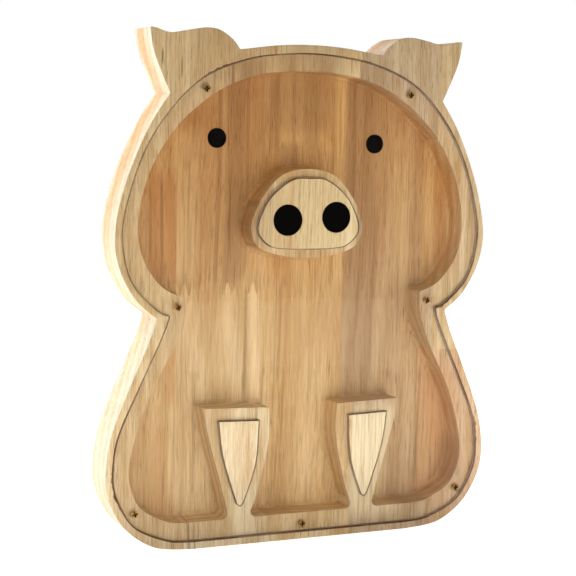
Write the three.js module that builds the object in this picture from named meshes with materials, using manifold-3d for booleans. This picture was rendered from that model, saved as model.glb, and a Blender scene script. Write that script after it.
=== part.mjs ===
// A wooden money box in the outline of a sitting pig, milled from one edge-glued board.
// Millimetres, +Z up. The front faces -Y. The origin is the middle of the flat base that the box stands on.

import * as THREE from "three";
import { mergeVertices } from "three/addons/utils/BufferGeometryUtils.js";
import Module from "manifold-3d";

const wasm = await Module();
wasm.setup();

// ---- driving dimensions ----

const BOARD_THICKNESS = 28;      // front face to back face
const GAP = 0.3;                 // left between pieces that touch
const GLUE_GAP = 0.3;            // glue line between staves

const RABBET_DEPTH = 3.3;        // step that the clear front lies in
const CAVITY_DEPTH = 20.4;       // front face to the floor of the coin cavity
const FLOOR_RADIUS = 2.5;        // round between the cavity's walls and its floor

const PANEL_THICKNESS = 3;
const PANEL_EDGE_GAP = 0.4;      // clearance round the clear front and in its windows

const STAVE_WIDTH = 53.6;
const FIRST_JOINT_X = -75.4;     // joint between the first stave and the second
const FINGER_JOINT_Z = 149.8;    // finger joint that lengthens the second stave
const FINGER_LENGTH = 6.6;
const FINGER_COUNT = 10;
const END_JOINT_Z = 111;         // butt joint low in the fifth stave

const SLOT_LENGTH = 40;          // coin slot through the top edge
const SLOT_WIDTH = 6;

const SCREW_HEAD_RADIUS = 2.2;
const SCREW_HEAD_DEPTH = 1.5;
const SCREW_SHANK_RADIUS = 1.1;
const SCREW_LENGTH = 11;
const SCREW_SIDES = 16;
const RECESS_LENGTH = 2.4;       // cross recess in a screw head
const RECESS_WIDTH = 0.6;
const RECESS_DEPTH = 0.8;

const EYE_RADIUS = 5.7;
const NOSTRIL_RADIUS = 9.05;
const DISC_THICKNESS = 0.8;
const DISC_SIDES = 40;

const CURVE_STEPS = 4;           // straight pieces between two points of a curve
const ROUND_STEPS = 3;           // straight pieces round a softened edge
const OVERRUN = 2;               // how far a cutter runs past the wood
const SIDE_REACH = 150;          // distance from the middle that lies clear of the wood on both sides
const WELD_DISTANCE = 1e-4;      // points nearer than this are one point

const FRONT_Y = -BOARD_THICKNESS / 2;
const BACK_Y = BOARD_THICKNESS / 2;
const LEDGE_Y = FRONT_Y + RABBET_DEPTH;
const FLOOR_Y = FRONT_Y + CAVITY_DEPTH;
const TOP_EDGE_Z = 300;

// ---- outlines, as curves [x, z] down the right-hand side; a corner lies between two curves ----

const OUTER_EDGE = [
  [[0, 292.9], [21.4, 291.9], [45.3, 288.6]],
  [[45.3, 288.6], [49.7, 294], [57.4, 298.9], [65, 300], [74, 298.7], [86.5, 296.4], [95.4, 298.5], [99.3, 299.1]],
  [[99.3, 299.1], [97, 286.3], [91.5, 272.6], [86.9, 262.9]],
  [[86.9, 262.9], [99.3, 243.4], [112, 213.2], [118.2, 185.2], [115.5, 164.6], [105.2, 146.1], [92.9, 135.7]],
  [[92.9, 135.7], [97.4, 122.7], [108.1, 98.3], [118.8, 71.1], [122.6, 49.1], [120.3, 32.1], [110, 14.6],
    [92.5, 2.9], [70, 0]],
];

const RABBET_EDGE = [
  [[0, 287.6], [21.4, 286.3], [40.9, 282.9], [64.3, 273.6], [83.7, 257], [101.2, 230.8], [112.6, 195.7],
    [113.3, 174.3], [107.1, 154.8], [92.5, 140.2], [85.3, 137.5]],
  [[85.3, 137.5], [89.6, 125.6], [102.2, 98.3], [114.9, 69.1], [117.8, 49.7], [115.9, 34.1], [105.2, 16.5],
    [85.7, 6.8], [70, 4.9]],
];

const CAVITY_EDGE = [
  [[0, 277.9], [17.5, 276.9], [37, 273.6], [59.4, 263.5], [81.8, 244.4], [97.4, 219.1], [104, 191.8],
    [101.2, 170.4], [89.6, 153.8], [75.9, 147.2]],
  [[75.9, 147.2], [77.1, 133.2], [83.5, 115.7], [99.3, 83], [107.8, 49.7], [102.2, 28], [85.9, 17.5], [75, 15.6]],
  [[75, 15.6], [49.6, 15.6]],
  [[49.6, 15.6], [47.1, 18]],
  [[47.1, 18], [51.6, 35], [59.9, 64.3], [63.4, 82.1]],
  [[63.4, 82.1], [22.1, 80.9]],
  [[22.1, 80.9], [21.8, 61.3], [28.2, 32.1], [33.4, 18]],
  [[33.4, 18], [30.9, 15.6]],
];

const SNOUT_RING_EDGE = [
  [[0, 221.4], [17, 217.5], [30, 203], [35.9, 187], [31, 175.5], [16, 170.3], [0, 168.8]],
];

const SNOUT_PLATE_EDGE = [
  [[0, 215.7], [9.7, 215.2], [19.5, 209.3], [27.3, 200.5], [32.4, 186], [25.3, 176.8], [15.6, 174.7], [0, 174.3]],
];

const PAW_PLATE_EDGE = [
  [[29.3, 73.7], [54.6, 74.5]],
  [[54.6, 74.5], [51.5, 53], [42.5, 25]],
  [[42.5, 25], [40.4, 23.3], [38.5, 25]],
  [[38.5, 25], [31, 48], [29.3, 73.7]],
];

// name, radius, x, z and the depth of the face that the disc is let into
const DISCS = [
  ["left_eye", EYE_RADIUS, -51.4, 238.2, FLOOR_Y],
  ["right_eye", EYE_RADIUS, 51.2, 236.4, FLOOR_Y],
  ["left_nostril", NOSTRIL_RADIUS, -13.6, 191.4, FRONT_Y],
  ["right_nostril", NOSTRIL_RADIUS, 17.5, 193, FRONT_Y],
];
const SCREW_PLACES = [
  ["screw_top_left", -65.1, 265.9],
  ["screw_top_right", 65.1, 265.9],
  ["screw_neck_left", -80.4, 141.9],
  ["screw_neck_right", 80.4, 141.9],
  ["screw_foot_left", -104.9, 23.5],
  ["screw_foot_right", 104.9, 23.5],
  ["screw_base", 0, 9.3],
];

// ---- materials ----

const finish = (color, roughness, metalness = 0) => ({ color, roughness, metalness });
const PALE_WOOD = finish(0xdcc08f, 0.55);
const WARM_WOOD = finish(0xcf9f6b, 0.55);
const PINK_WOOD = finish(0xd0a67e, 0.55);
const RED_WOOD = finish(0xc48f63, 0.55);
const CLEAR_ACRYLIC = finish(0xf2f6f6, 0.05);
const BRASS = finish(0xb8913f, 0.35, 0.9);
const BLACK_VINYL = finish(0x0a0a0a, 0.4);

// ---- curves and outlines ----

const mirrorPlace = ([x, z]) => [-x, z];
const mirrorRing = (ring) => ring.map(({ x, y }) => new THREE.Vector2(-x, y));

/** Points along a curve through the given places. It is level where it starts or ends on the centre line. */
function curvePoints(places) {
  if (places.length === 2) return places.map(([x, z]) => new THREE.Vector2(x, z));
  const before = places[0][0] === 0 ? places.slice(1).reverse().map(mirrorPlace) : [];
  const after = places.at(-1)[0] === 0 ? places.slice(0, -1).reverse().map(mirrorPlace) : [];
  const whole = [...before, ...places, ...after];
  const curve = new THREE.SplineCurve(whole.map(([x, z]) => new THREE.Vector2(x, z)));
  const first = before.length * CURVE_STEPS;
  const last = first + (places.length - 1) * CURVE_STEPS;
  return curve.getPoints((whole.length - 1) * CURVE_STEPS).slice(first, last + 1);
}

/** One closed ring of points from curves that follow on from each other. */
const joinCurves = (curves) => curves.flatMap((places) => curvePoints(places).slice(0, -1));

/** A ring that is symmetric about X = 0, from the curves of its right half; a straight line closes it. */
function symmetricRing(curves) {
  const right = [...joinCurves(curves), curvePoints(curves.at(-1)).at(-1)];
  const left = mirrorRing(right.filter(({ x }) => x > 0)).reverse();
  return [...right, ...left];
}

/** The same ring moved outwards by a distance (inwards if negative), square to its edges. */
function offsetRing(ring, distance) {
  const turn = Math.sign(THREE.ShapeUtils.area(ring));
  const edgeNormal = (from, to) => new THREE.Vector2(to.y - from.y, from.x - to.x).normalize().multiplyScalar(turn);
  return ring.map((point, i) => {
    const before = edgeNormal(ring.at(i - 1), point);
    const after = edgeNormal(point, ring[(i + 1) % ring.length]);
    const reach = distance / (1 + before.dot(after));
    return point.clone().addScaledVector(before.add(after), reach);
  });
}

// ---- solids ----

/** A closed manifold solid from a three.js geometry. */
function toSolid(geometry) {
  const bare = geometry.clone();
  bare.deleteAttribute("normal");
  bare.deleteAttribute("uv");
  const merged = mergeVertices(bare, WELD_DISTANCE);
  const vertProperties = new Float32Array(merged.attributes.position.array);
  const triVerts = new Uint32Array(merged.index.array);
  return new wasm.Manifold(new wasm.Mesh({ numProp: 3, vertProperties, triVerts }));
}

function toGeometry(solid) {
  const { vertProperties, triVerts } = solid.getMesh();
  const geometry = new THREE.BufferGeometry();
  geometry.setAttribute("position", new THREE.BufferAttribute(new Float32Array(vertProperties), 3));
  geometry.setIndex(new THREE.BufferAttribute(new Uint32Array(triVerts), 1));
  return geometry;
}

/** A plate with the given outline between two depths; a round softens its back edge. */
function plate(ring, frontY, backY, { round = 0, holes = [] } = {}) {
  const shape = new THREE.Shape(THREE.ShapeUtils.isClockWise(ring) ? [...ring].reverse() : ring);
  shape.holes = holes.map((hole) => new THREE.Path(hole));
  const geometry = new THREE.ExtrudeGeometry(shape, {
    depth: backY - frontY - 2 * round,
    bevelEnabled: round > 0,
    bevelThickness: round,
    bevelSize: round,
    bevelOffset: -round,
    bevelSegments: ROUND_STEPS,
  });
  geometry.translate(0, 0, round);
  geometry.rotateX(Math.PI / 2);
  geometry.translate(0, backY, 0);
  return toSolid(geometry);
}

function block(lowX, highX, lowY, highY, lowZ, highZ) {
  const geometry = new THREE.BoxGeometry(highX - lowX, highY - lowY, highZ - lowZ);
  geometry.translate((lowX + highX) / 2, (lowY + highY) / 2, (lowZ + highZ) / 2);
  return toSolid(geometry);
}

/** A solid turned about an axis along Y at (x, z), from [radius, y] places that start and end on the axis. */
function turned(places, x, z, sides) {
  const geometry = new THREE.LatheGeometry(places.map(([radius, y]) => new THREE.Vector2(radius, y)), sides);
  geometry.translate(x, 0, z);
  return toSolid(geometry);
}

const bar = (radius, lowY, highY) => [[0, lowY], [radius, lowY], [radius, highY], [0, highY]];

// ---- the milled board ----

const snoutPlate = symmetricRing(SNOUT_PLATE_EDGE);
const rightPawPlate = joinCurves(PAW_PLATE_EDGE);
const raisedPlates = [snoutPlate, rightPawPlate, mirrorRing(rightPawPlate)];

function screwProfile(clearance) {
  const headY = FRONT_Y + SCREW_HEAD_DEPTH;
  const tipY = FRONT_Y + SCREW_LENGTH;
  const shank = SCREW_SHANK_RADIUS + clearance;
  return [
    [0, FRONT_Y],
    [SCREW_HEAD_RADIUS + clearance, FRONT_Y],
    [shank, headY + clearance],
    [shank, tipY - 2 * SCREW_SHANK_RADIUS],
    [0, tipY + clearance],
  ];
}

function milledBoard() {
  let board = plate(symmetricRing(OUTER_EDGE), FRONT_Y, BACK_Y);

  let rabbet = plate(symmetricRing(RABBET_EDGE), FRONT_Y - OVERRUN, LEDGE_Y);
  for (const ring of raisedPlates) {
    rabbet = rabbet.subtract(plate(ring, FRONT_Y - 2 * OVERRUN, LEDGE_Y + OVERRUN));
  }
  board = board.subtract(rabbet);

  const cavity = plate(symmetricRing(CAVITY_EDGE), LEDGE_Y - OVERRUN - FLOOR_RADIUS, FLOOR_Y, {
    round: FLOOR_RADIUS,
    holes: [symmetricRing(SNOUT_RING_EDGE)],
  });
  const belowLedge = block(-SIDE_REACH, SIDE_REACH, LEDGE_Y - OVERRUN, BACK_Y, -OVERRUN, TOP_EDGE_Z);
  board = board.subtract(cavity.intersect(belowLedge));

  const slotY = (LEDGE_Y + FLOOR_Y - FLOOR_RADIUS) / 2;
  const slotFloorZ = CAVITY_EDGE[0][0][1] - FLOOR_RADIUS - OVERRUN;
  board = board.subtract(block(-SLOT_LENGTH / 2, SLOT_LENGTH / 2, slotY - SLOT_WIDTH / 2, slotY + SLOT_WIDTH / 2,
    slotFloorZ, TOP_EDGE_Z));

  for (const [, x, z] of SCREW_PLACES) {
    board = board.subtract(turned(screwProfile(GAP), x, z, SCREW_SIDES));
  }
  for (const [, radius, x, z, faceY] of DISCS) {
    const seat = bar(radius + GAP, faceY - OVERRUN, faceY + DISC_THICKNESS + GAP);
    board = board.subtract(turned(seat, x, z, DISC_SIDES));
  }
  return board;
}

// ---- staves: the board parted at its glue lines ----

/** A zigzag plate that fills the second stave's finger joint. */
function fingerJointGap(lowX, highX) {
  const pitch = (highX - lowX) / FINGER_COUNT;
  const slope = Math.atan2(pitch / 2, FINGER_LENGTH);
  const halfGap = GLUE_GAP / 2 / Math.sin(slope);
  const zigzag = [];
  for (let i = -1; i <= 2 * FINGER_COUNT + 1; i++) {
    const z = FINGER_JOINT_Z + (i % 2 === 0 ? FINGER_LENGTH / 2 : -FINGER_LENGTH / 2);
    zigzag.push(new THREE.Vector2(lowX + i * pitch / 2, z));
  }
  const upper = zigzag.map(({ x, y }) => new THREE.Vector2(x, y + halfGap));
  const lower = zigzag.map(({ x, y }) => new THREE.Vector2(x, y - halfGap)).reverse();
  return plate([...upper, ...lower], FRONT_Y - OVERRUN, BACK_Y + OVERRUN);
}

/** The part of the board between two X values and two Z values. */
const portion = (board, lowX, highX, lowZ = -OVERRUN, highZ = TOP_EDGE_Z + OVERRUN) =>
  board.intersect(block(lowX, highX, FRONT_Y - OVERRUN, BACK_Y + OVERRUN, lowZ, highZ));

function staves() {
  const board = milledBoard();
  const joints = [0, 1, 2, 3].map((i) => FIRST_JOINT_X + i * STAVE_WIDTH);
  const edges = [-SIDE_REACH, ...joints, SIDE_REACH];
  const [first, second, third, fourth, fifth] = edges.slice(1).map((highX, i) =>
    portion(board, edges[i] + GLUE_GAP / 2, highX - GLUE_GAP / 2));
  const lengths = second.subtract(fingerJointGap(edges[1], edges[2])).decompose();
  lengths.sort((a, b) => b.boundingBox().max[2] - a.boundingBox().max[2]);
  const [secondUpper, secondLower] = lengths;
  const fifthUpper = portion(fifth, edges[4], edges[5], END_JOINT_Z + GLUE_GAP / 2);
  const fifthLower = portion(fifth, edges[4], edges[5], -OVERRUN, END_JOINT_Z - GLUE_GAP / 2);
  return [
    ["stave_1", first, WARM_WOOD],
    ["stave_2_upper", secondUpper, PALE_WOOD],
    ["stave_2_lower", secondLower, PALE_WOOD],
    ["stave_3", third, WARM_WOOD],
    ["stave_4", fourth, PINK_WOOD],
    ["stave_5_upper", fifthUpper, PALE_WOOD],
    ["stave_5_lower", fifthLower, RED_WOOD],
  ];
}

// ---- the clear front, screws and discs ----

function clearFront() {
  const holes = raisedPlates.map((ring) => offsetRing(ring, PANEL_EDGE_GAP));
  const outline = offsetRing(symmetricRing(RABBET_EDGE), -PANEL_EDGE_GAP);
  let front = plate(outline, FRONT_Y, FRONT_Y + PANEL_THICKNESS, { holes });
  for (const [, x, z] of SCREW_PLACES) {
    front = front.subtract(turned(screwProfile(GAP), x, z, SCREW_SIDES));
  }
  return front;
}

function screw(x, z) {
  const half = RECESS_LENGTH / 2;
  const thin = RECESS_WIDTH / 2;
  const lowY = FRONT_Y - OVERRUN;
  const highY = FRONT_Y + RECESS_DEPTH;
  const recess = block(x - half, x + half, lowY, highY, z - thin, z + thin)
    .add(block(x - thin, x + thin, lowY, highY, z - half, z + half));
  return turned(screwProfile(0), x, z, SCREW_SIDES).subtract(recess);
}

const disc = (radius, x, z, faceY) => turned(bar(radius, faceY, faceY + DISC_THICKNESS), x, z, DISC_SIDES);

// ---- the assembly ----

const moneyBox = new THREE.Group();

function addPiece(name, solid, material) {
  const mesh = new THREE.Mesh(toGeometry(solid), new THREE.MeshStandardMaterial(material));
  mesh.name = name;
  moneyBox.add(mesh);
}

for (const [name, solid, wood] of staves()) addPiece(name, solid, wood);
addPiece("clear_front", clearFront(), CLEAR_ACRYLIC);
for (const [name, x, z] of SCREW_PLACES) addPiece(name, screw(x, z), BRASS);
for (const [name, ...place] of DISCS) addPiece(name, disc(...place), BLACK_VINYL);

export default moneyBox;
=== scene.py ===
"""A wooden money box in the outline of a sitting pig: staves, clear front, brass screws and black discs.

Shapes are worked out in millimetres and scaled to metres at the end.
The frame has +Z up, the front facing -Y, and its origin in the middle of the flat base.
"""

import math

import bmesh
import bpy
from bpy.props import FloatProperty, FloatVectorProperty, PointerProperty
from mathutils import Matrix, Vector, noise
from mathutils.geometry import interpolate_bezier


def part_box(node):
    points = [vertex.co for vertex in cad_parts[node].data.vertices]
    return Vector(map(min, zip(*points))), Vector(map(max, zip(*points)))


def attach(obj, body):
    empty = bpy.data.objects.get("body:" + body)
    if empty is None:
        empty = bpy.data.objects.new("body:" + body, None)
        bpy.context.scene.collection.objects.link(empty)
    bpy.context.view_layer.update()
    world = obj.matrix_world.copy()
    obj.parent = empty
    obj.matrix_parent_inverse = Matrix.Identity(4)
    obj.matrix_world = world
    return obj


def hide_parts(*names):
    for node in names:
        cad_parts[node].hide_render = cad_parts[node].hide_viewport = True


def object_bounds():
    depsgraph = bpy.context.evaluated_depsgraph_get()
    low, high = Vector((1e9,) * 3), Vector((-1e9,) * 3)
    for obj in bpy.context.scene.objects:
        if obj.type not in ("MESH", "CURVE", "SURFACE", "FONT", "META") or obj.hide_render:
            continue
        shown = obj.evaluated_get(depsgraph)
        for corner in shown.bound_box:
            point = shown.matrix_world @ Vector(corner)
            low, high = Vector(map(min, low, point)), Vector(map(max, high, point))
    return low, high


bl_info = {
    "name": "Wooden Money Box",
    "version": (1, 0, 0),
    "blender": (4, 5, 0),
    "location": "View3D > Sidebar > Money Box",
    "description": "Builds a pig-shaped wooden money box with a clear front",
    "category": "Add Mesh",
}

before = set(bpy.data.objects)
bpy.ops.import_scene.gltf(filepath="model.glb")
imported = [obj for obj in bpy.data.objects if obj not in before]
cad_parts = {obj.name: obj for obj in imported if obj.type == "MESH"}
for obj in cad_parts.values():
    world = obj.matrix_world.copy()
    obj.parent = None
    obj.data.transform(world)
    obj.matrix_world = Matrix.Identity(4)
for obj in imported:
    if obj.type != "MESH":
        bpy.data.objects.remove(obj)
CAD_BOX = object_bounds()
MM = 0.001


# ---- places taken from the frame, in millimetres ----


def node_box(node):
    """Lowest and highest corner of a node, in millimetres."""
    low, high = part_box(node)
    return low / MM, high / MM


def joint_between(lower, upper, axis):
    """Where two neighbouring staves meet along one axis."""
    return (node_box(lower)[1][axis] + node_box(upper)[0][axis]) / 2


LEDGE_GAP = 0.3
FRONT_Y = CAD_BOX[0].y / MM
BACK_Y = CAD_BOX[1].y / MM
PANEL_BACK_Y = node_box("clear_front")[1].y
LEDGE_Y = PANEL_BACK_Y + LEDGE_GAP
FLOOR_Y = node_box("left_eye")[0].y

JOINTS_X = [
    joint_between("stave_1", "stave_2_lower", 0),
    joint_between("stave_2_lower", "stave_3", 0),
    joint_between("stave_3", "stave_4", 0),
    joint_between("stave_4", "stave_5_lower", 0),
]
FINGER_Z = joint_between("stave_2_lower", "stave_2_upper", 2)
END_JOINT_Z = joint_between("stave_5_lower", "stave_5_upper", 2)
TOOTH_LENGTH = 6.6
TEETH = 10
TOOTH_TIP = 0.1  # half width of a flat tooth tip, as a share of the pitch

SCREWS = sorted(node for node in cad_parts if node.startswith("screw_"))
DISCS = ["left_eye", "right_eye", "left_nostril", "right_nostril"]
SCREW_HEAD_DEPTH = 1.5
SCREW_SHANK_RADIUS = 1.1
SLOT_LENGTH = 40
SLOT_WIDTH = 6


# ---- small fixed sizes, in millimetres; an edge is a list of (outset, depth below its flat) ----

EASE_BEND = 0.3  # how far the middle of an eased edge stays back, as a share of its easing
PLATE_EDGE = [(-0.3, 0), (-0.08, 0.1), (0, 0.3)]
SEAT_EDGE = [(0.1, 0), (0, 0.1)]
DISC_EDGE = [(-0.2, 0), (-0.06, 0.05), (0, 0.2)]
SCREW_HEAD_EDGE = [(-0.12, 0), (-0.03, 0.04), (0, 0.14)]
RECESS_EDGE = [(0.06, 0), (0, 0.08), (-0.44, 0.9)]
PILOT_EDGE = [(0.35, 0), (0, 0.3)]

SEAT_CLEARANCE = 0.12
SEAT_SPARE_DEPTH = 0.1
PILOT_CLEARANCE = 0.25
PILOT_SPARE_DEPTH = 0.2
PILOT_POINT_RADIUS = 0.2
PILOT_POINT_LENGTH = 1.5
HOLE_CLEARANCE = 0.3

RECESS_HALF_LENGTH = 1.5
RECESS_HALF_WIDTH = 0.5
RECESS_TURN = 7  # degrees for each millimetre across the box
PLAIN_SHANK = 0.8
THREAD_DEPTH = 0.3
THREAD_ROOT = (0.3, 0.55)  # where the root starts and ends, as shares of the pitch
THREAD_CREST = (0.8, 0.9)
TAPER_STEP = 0.4
TIP_RADIUS = 0.08

SLOT_ROUND_STEPS = 16
SLOT_FLARE = 1.6  # outset of the cutter above the top edge, as a share of its easing
SLOT_OVERRUN_ABOVE = 0.8
SLOT_OVERRUN_BELOW = 1.5
SLOT_PROUD = 0.03

# the cutter's wall at the rim: outset and depth, each with how much a torn place adds
TORN_EDGE = [(0.75, 1, 0, 0), (0.2, 0.45, 0.25, 0.35), (0, 0, 0.5, 1.1)]
TEAR_GRAIN = 0.55  # how fast the tears change along the rim, per millimetre
TEAR_SLICE = 3.7  # where the noise is read, so that coarse and fine tears differ
TEAR_BIAS = 0.35
FINE_GRAIN = 1.3
FINE_SLICE = 8.1
FINE_DEPTH = 0.12

# how much painted shade each kind of wall gets: the shade in the gap round the clear front, in holes and in
# the cavity
GAP_SHADE = {"rim": 1.0, "plate": 0.9, "hole": 1.0, "cavity": 0.12, "snout": 0.15}

CUT_TOLERANCE = 1e-5
ON_CENTRE_LINE = 1e-6
WALL_NORMAL_Y = 0.3  # faces of the clear front that turn less than this to the front are its sawn edges


# ---- outlines, as curves (x, z) down the right-hand side; a corner lies between two curves ----

OUTER_EDGE = [
    [(0, 292.9), (21.4, 291.9), (45.3, 288.6)],
    [(45.3, 288.6), (49.7, 294), (57.4, 298.9), (65, 300), (74, 298.7), (86.5, 296.4), (95.4, 298.5),
     (99.3, 299.1)],
    [(99.3, 299.1), (97, 286.3), (91.5, 272.6), (86.9, 262.9)],
    [(86.9, 262.9), (99.3, 243.4), (112, 213.2), (118.2, 185.2), (115.5, 164.6), (105.2, 146.1),
     (92.9, 135.7)],
    [(92.9, 135.7), (97.4, 122.7), (108.1, 98.3), (118.8, 71.1), (122.6, 49.1), (120.3, 32.1), (110, 14.6),
     (92.5, 2.9), (70, 0)],
    [(70, 0), (0, 0)],
]
OUTER_CORNERS = [(45.3, 288.6, 1.2), (99.3, 299.1, 0.9), (86.9, 262.9, 1.2), (92.9, 135.7, 1.5)]

RABBET_EDGE = [
    [(0, 287.6), (21.4, 286.3), (40.9, 282.9), (64.3, 273.6), (83.7, 257), (101.2, 230.8), (112.6, 195.7),
     (113.3, 174.3), (107.1, 154.8), (92.5, 140.2), (85.3, 137.5)],
    [(85.3, 137.5), (89.6, 125.6), (102.2, 98.3), (114.9, 69.1), (117.8, 49.7), (115.9, 34.1), (105.2, 16.5),
     (85.7, 6.8), (70, 4.9)],
    [(70, 4.9), (0, 4.9)],
]
RABBET_CORNERS = [(85.3, 137.5, 1.5)]

CAVITY_EDGE = [
    [(0, 277.9), (17.5, 276.9), (37, 273.6), (59.4, 263.5), (81.8, 244.4), (97.4, 219.1), (104, 191.8),
     (101.2, 170.4), (89.6, 153.8), (75.9, 147.2)],
    [(75.9, 147.2), (77.1, 133.2), (83.5, 115.7), (99.3, 83), (107.8, 49.7), (102.2, 28), (85.9, 17.5),
     (75, 15.6)],
    [(75, 15.6), (46.5, 15.6)],
    [(46.5, 15.6), (51.6, 35), (59.9, 64.3), (63.4, 82.1)],
    [(63.4, 82.1), (22.1, 80.9)],
    [(22.1, 80.9), (21.8, 61.3), (28.2, 32.1), (34.2, 15.6)],
    [(34.2, 15.6), (0, 15.6)],
]
CAVITY_CORNERS = [
    (75.9, 147.2, 1.6), (46.5, 15.6, 3.4), (63.4, 82.1, 0.7), (22.1, 80.9, 0.7), (34.2, 15.6, 3.4),
]

SNOUT_RING_EDGE = [
    [(0, 221.4), (17, 217.5), (30, 203), (35.9, 187), (31, 175.5), (16, 170.3), (0, 168.8)],
]
SNOUT_PLATE_EDGE = [
    [(0, 215.7), (9.7, 215.2), (19.5, 209.3), (27.3, 200.5), (32.4, 186), (25.3, 176.8), (15.6, 174.7),
     (0, 174.3)],
]
PAW_PLATE_EDGE = [
    [(29.3, 73.7), (54.6, 74.5)],
    [(54.6, 74.5), (51.5, 53), (42.5, 25)],
    [(42.5, 25), (40.4, 23.3), (38.5, 25)],
    [(38.5, 25), (31, 48), (29.3, 73.7)],
]

# x, z and reach of the places where the cutter tore small chips out of the rim
TORN_PLACES = [(-85, 137, 16), (-112, 40, 16), (88, 141, 9), (-60, 276, 12), (116, 60, 10)]


# ---- sizes, finishes and lights that a user may change ----


def tone(red, green, blue):
    """A colour given in 0 to 255 display steps, as the linear one that shaders use."""
    steps = [value / 255 for value in (red, green, blue)]
    return tuple(v / 12.92 if v <= 0.04045 else ((v + 0.055) / 1.055) ** 2.4 for v in steps)


def length(name, description, default):
    """A length setting in millimetres."""
    return FloatProperty(name=name, description=f"{description}, in millimetres", default=default, min=0.0)


def colour(name, description, default):
    """A colour setting."""
    return FloatVectorProperty(
        name=name, description=description, default=default, subtype="COLOR", size=3, min=0, max=1
    )


def glow(name, description, default):
    """A setting for how strongly something glows."""
    return FloatProperty(name=name, description=description, default=default, min=0)


def wattage(name, description, default):
    """A lamp's power setting."""
    return FloatProperty(name=name, description=description, default=default, min=0, unit="POWER")


class MoneyBoxSizes(bpy.types.PropertyGroup):
    """Small sizes that finish the shapes, in millimetres."""

    edge_ease: length("Edge easing", "How far the sanded edges are broken", 0.35)
    cavity_ease: length("Cavity easing", "Easing where the ledge meets the cavity wall", 0.3)
    floor_round: length("Floor round", "Round between the cavity walls and its floor", 2.5)
    slot_ease: length("Slot easing", "Round at the mouth of the coin slot", 0.6)
    tear_out: length("Tear-out", "Depth of the chips that the cutter left along the rim", 0.9)
    panel_clearance: length("Panel clearance", "Gap round the clear front and in its windows", 0.25)
    panel_polish: length("Panel polish", "Width of the polished edge of the clear front", 0.22)
    thread_pitch: length("Thread pitch", "Distance between two turns of the screw thread", 0.9)


class MoneyBoxFinishes(bpy.types.PropertyGroup):
    """Colours of the staves, the clear front, the screws and the discs."""

    stave_1: colour("Stave 1", "Tone of the first stave", tone(228, 199, 152))
    stave_2_upper: colour("Stave 2 upper", "Tone of the second stave's upper length", tone(215, 182, 135))
    stave_2_lower: colour("Stave 2 lower", "Tone of the second stave's lower length", tone(233, 208, 166))
    stave_3: colour("Stave 3", "Tone of the third stave", tone(229, 199, 150))
    stave_4: colour("Stave 4", "Tone of the fourth stave", tone(212, 184, 147))
    stave_5_upper: colour("Stave 5 upper", "Tone of the fifth stave's upper length", tone(228, 200, 156))
    stave_5_lower: colour("Stave 5 lower", "Tone of the fifth stave's lower length", tone(224, 188, 148))
    pore: colour("Pores", "Tone of the pores and of the brown streaks", tone(128, 84, 48))
    amber: colour("Amber heartwood", "Tone of the warm patches", tone(206, 142, 84))
    sapwood: colour("Sapwood", "Tone of the pale bands", tone(248, 228, 184))
    # painted shade: the front faces darkened up the head, where less light falls
    sanded: colour("Sanded front", "How the front of the head is dulled", (0.79, 0.78, 0.715))
    # milled tints: partly the milled faces' own duller tone, partly painted shade of the cavity, which gets
    # less and warmer light; the head tint is nearly all painted shade
    milled_tint_and_shade_body: colour("Milled tint, body", "Tint of the milled faces inside the body", (1.0, 0.94, 0.82))
    milled_tint_and_shade_head: colour("Milled tint, head", "Tint of the milled faces inside the head", (0.90, 0.68, 0.43))
    # painted shade: the dark of the gap round the clear front and of holes and hollows
    gap_shade_tint: colour("Scorched tint", "Tint of walls that the cutter's heat browned", (0.25, 0.13, 0.055))
    acrylic: colour("Acrylic", "Tint of the clear front", (1.0, 0.985, 0.955))
    # the cloudy sawn edges' brown is painted shade of the dark gap round the clear front
    sawn_edge_shade: colour("Sawn edge", "Tone of the cloudy edges of the clear front", (0.30, 0.18, 0.09))
    brass: colour("Brass", "Tone of the screws", tone(222, 168, 92))
    black: colour("Black discs", "Tone of the eyes and nostrils", tone(4, 3, 2))


class MoneyBoxStudio(bpy.types.PropertyGroup):
    """Strengths of the studio lights."""

    daylight: glow("Surround", "Strength of the white surround", 0.16)
    floor_glow: glow("Floor glow", "Light that the white floor gives off", 0.42)
    key: wattage("Key light", "Power of the large low front light", 0.8)
    low: wattage("Low light", "Power of the light lying on the floor in front", 1.65)
    front: wattage("Front light", "Power of the low light before the feet", 1.1)
    top: wattage("Top light", "Power of the light above on the left", 3.0)
    back: wattage("Back light", "Power of the light above and behind", 14)
    side: wattage("Side light", "Power of the light on the left", 43)
    focal_length: FloatProperty(
        name="Focal length", description="Focal length of the camera", default=92.47, min=1, unit="CAMERA"
    )


# ---- outlines ----

HANDLE_SHARE = 6  # a smooth curve's handles reach a sixth of the way between the places on either side
# a rounded corner takes the place of points within this share of its reach, and this many millimetres
ARC_MARGIN_SHARE = 1.02
ARC_MARGIN = 0.15


def mirrored(point):
    """The same place on the other side of the centre line."""
    return Vector((-point.x, point.y, point.z))


def curve_points(places, step):
    """Points along a smooth curve through the given places; it is level where it meets the centre line."""
    knots = [Vector((x, 0, z)) for x, z in places]
    curved = len(knots) > 2
    before = mirrored(knots[1]) if curved and knots[0].x == 0 else knots[0]
    after = mirrored(knots[-2]) if curved and knots[-1].x == 0 else knots[-1]
    whole = [before, *knots, after]
    points = []
    for previous, start, end, following in zip(whole, whole[1:], whole[2:], whole[3:]):
        count = 1 + math.ceil((end - start).length / step)
        start_handle = start + (end - previous) / HANDLE_SHARE
        end_handle = end - (following - start) / HANDLE_SHARE
        points += interpolate_bezier(start, start_handle, end_handle, end, max(count, 2))[:-1]
    return [*points, knots[-1]]


def joined_curves(curves, step):
    """Points along curves that follow on from each other, without the last one."""
    return [point for places in curves for point in curve_points(places, step)[:-1]]


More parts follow.
